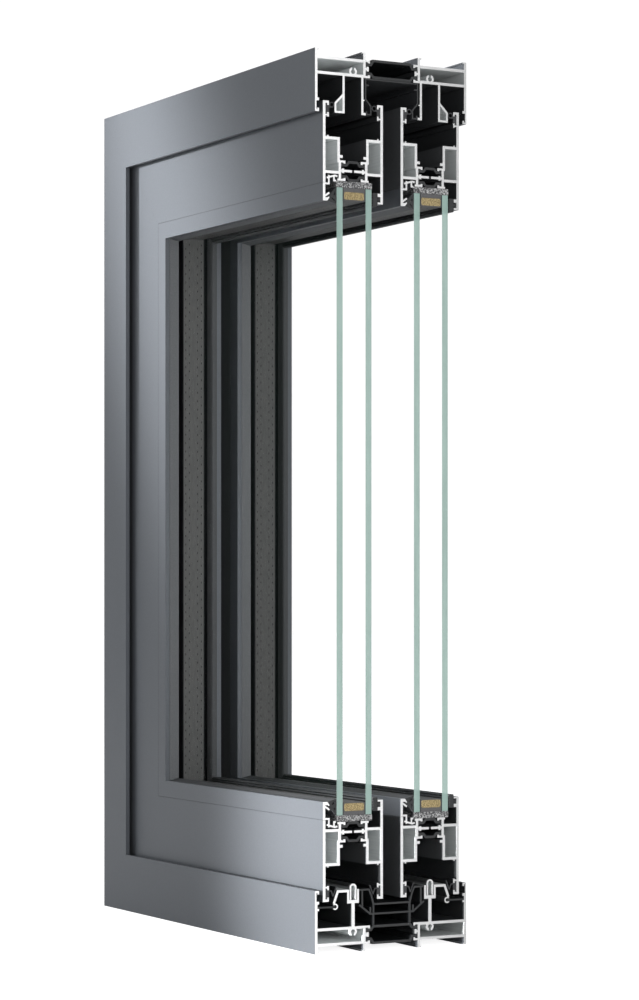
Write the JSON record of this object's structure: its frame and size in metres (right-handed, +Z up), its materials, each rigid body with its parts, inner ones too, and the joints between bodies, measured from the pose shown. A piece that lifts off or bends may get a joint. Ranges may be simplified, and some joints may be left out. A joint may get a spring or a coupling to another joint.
{
  "type": "sliding window corner sample",
  "caption": "Cut-away corner sample of a thermally broken aluminium sliding window: head, jamb and sill of the frame with double-glazed sashes, sawn square to show the sections.",
  "frame": {"origin": "middle of the footprint, on the tips of the sill's legs", "axes": "+X along the head towards the sawn end, +Y from the room side to the outside, +Z up"},
  "size_m": [0.365, 0.128, 0.654],
  "materials": {
    "painted_profile": "satin dark grey paint, bare aluminium on the sawn end",
    "dark_plastic": "matte",
    "thermal_strip": "matte, glass-filled",
    "rubber": "matte",
    "clear_glass": "clear, pale green sawn edges",
    "spacer_metal": "mill, perforated",
    "desiccant": "granular",
    "sealant": "matte",
    "packer": "marbled",
    "rail_steel": "brushed",
    "roller": "moulded"
  },
  "bodies": {
    "root": {"frame_thermal_strips": "thermal_strip", "front_sash_bead_gasket": "rubber", "front_sash_bottom_rail_front": "painted_profile", "front_sash_bottom_rail_rear": "painted_profile", "front_sash_desiccant": "desiccant", "front_sash_edge_sealant": "sealant", "front_sash_glass_panes": "clear_glass", "front_sash_glazing_beads": "painted_profile", "front_sash_outer_gasket": "rubber", "front_sash_roller_carriage": "roller", "front_sash_setting_blocks": "packer", "front_sash_spacer": "spacer_metal", "front_sash_stile_front": "painted_profile", "front_sash_stile_rear": "painted_profile", "front_sash_thermal_strips": "thermal_strip", "front_sash_top_rail_front": "painted_profile", "front_sash_top_rail_rear": "painted_profile", "front_sash_weatherstrips": "rubber", "head_centre_cover": "dark_plastic", "head_front_profile": "painted_profile", "head_rear_profile": "painted_profile", "jamb_centre_cover": "dark_plastic", "jamb_front_profile": "painted_profile", "jamb_rear_profile": "painted_profile", "rail_caps": "rail_steel", "rear_sash_bead_gasket": "rubber", "rear_sash_bottom_rail_front": "painted_profile", "rear_sash_bottom_rail_rear": "painted_profile", "rear_sash_desiccant": "desiccant", "rear_sash_edge_sealant": "sealant", "rear_sash_glass_panes": "clear_glass", "rear_sash_glazing_beads": "painted_profile", "rear_sash_outer_gasket": "rubber", "rear_sash_roller_carriage": "roller", "rear_sash_setting_blocks": "packer", "rear_sash_spacer": "spacer_metal", "rear_sash_stile_front": "painted_profile", "rear_sash_stile_rear": "painted_profile", "rear_sash_thermal_strips": "thermal_strip", "rear_sash_top_rail_front": "painted_profile", "rear_sash_top_rail_rear": "painted_profile", "rear_sash_weatherstrips": "rubber", "sill_centre_channel": "dark_plastic", "sill_cover_strips": "dark_plastic", "sill_front_profile": "painted_profile", "sill_rear_profile": "painted_profile"}
  },
  "joints": []
}
